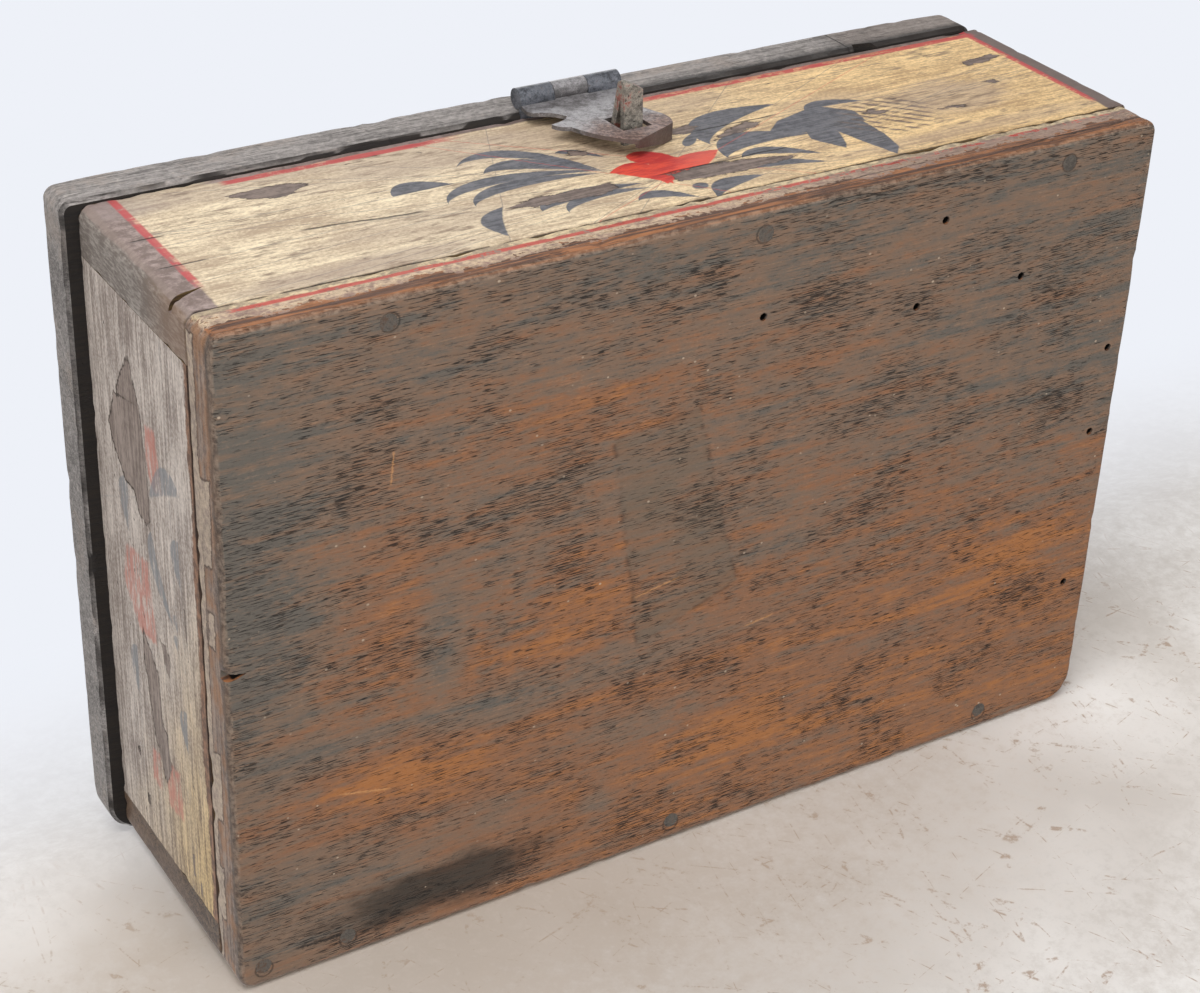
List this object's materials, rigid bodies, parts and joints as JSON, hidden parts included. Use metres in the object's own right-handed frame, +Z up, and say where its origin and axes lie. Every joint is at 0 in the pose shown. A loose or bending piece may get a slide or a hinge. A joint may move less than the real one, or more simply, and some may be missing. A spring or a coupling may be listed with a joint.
{
  "type": "antique candle box",
  "caption": "Antique candle box: an oblong painted wooden box with a flat lid hinged at the back, and an iron hasp that folds down over a staple on the front.",
  "frame": {"origin": "middle of the bottom board's underside", "axes": "+X along the length, -Y out of the front wall with the hasp, +Z up through the lid"},
  "size_m": [0.2582, 0.192, 0.0835],
  "materials": {
    "bottom_board": "worn, oiled and grimy",
    "front_wall": "old flaking paint",
    "back_wall": "worn, unpainted",
    "left_end_wall": "old flaking paint",
    "right_end_wall": "old flaking paint",
    "bottom_nails": "dark, rusted",
    "front_wall_nails": "dark, painted over",
    "back_wall_nails": "dark, rusted",
    "hinge_wall_nails": "dark, rusted",
    "hinge_lid_nails": "dark, rusted",
    "hasp_lid_nails": "dark, rusted",
    "lid_board": "dark, worn",
    "left_hinge_wall_leaf": "dark, rusted",
    "left_hinge_lid_leaf": "dark, rusted",
    "left_hinge_pin": "dark, rusted",
    "right_hinge_wall_leaf": "dark, rusted",
    "right_hinge_lid_leaf": "dark, rusted",
    "right_hinge_pin": "dark, rusted",
    "hasp_lid_leaf": "dark, worn to a dull shine at the edges",
    "hasp_plate": "dark, worn to a dull shine at the edges",
    "hasp_pin": "dark, rusted",
    "staple": "dark, rusted"
  },
  "bodies": {
    "box": {"bottom_board": "bottom_board", "front_wall": "front_wall", "back_wall": "back_wall", "left_end_wall": "left_end_wall", "right_end_wall": "right_end_wall", "bottom_nails": "bottom_nails", "front_wall_nails": "front_wall_nails", "back_wall_nails": "back_wall_nails", "hinge_wall_nails": "hinge_wall_nails", "left_hinge_wall_leaf": "left_hinge_wall_leaf", "left_hinge_pin": "left_hinge_pin", "right_hinge_wall_leaf": "right_hinge_wall_leaf", "right_hinge_pin": "right_hinge_pin", "staple": "staple"},
    "lid": {"lid_board": "lid_board", "hinge_lid_nails": "hinge_lid_nails", "left_hinge_lid_leaf": "left_hinge_lid_leaf", "right_hinge_lid_leaf": "right_hinge_lid_leaf", "hasp_lid_leaf": "hasp_lid_leaf", "hasp_lid_nails": "hasp_lid_nails", "hasp_pin": "hasp_pin"},
    "hasp": {"hasp_plate": "hasp_plate"}
  },
  "joints": [
    {"name": "lid_hinge", "type": "hinge", "parent": "box", "child": "lid", "pos_m": [0, 0.0873, 0.071], "axis": [-1, 0, 0], "range_deg": [0, 95]},
    {"name": "hasp_hinge", "type": "hinge", "parent": "lid", "child": "hasp", "pos_m": [0, -0.0913, 0.0738], "axis": [-1, 0, 0], "range_deg": [0, 170]}
  ]
}
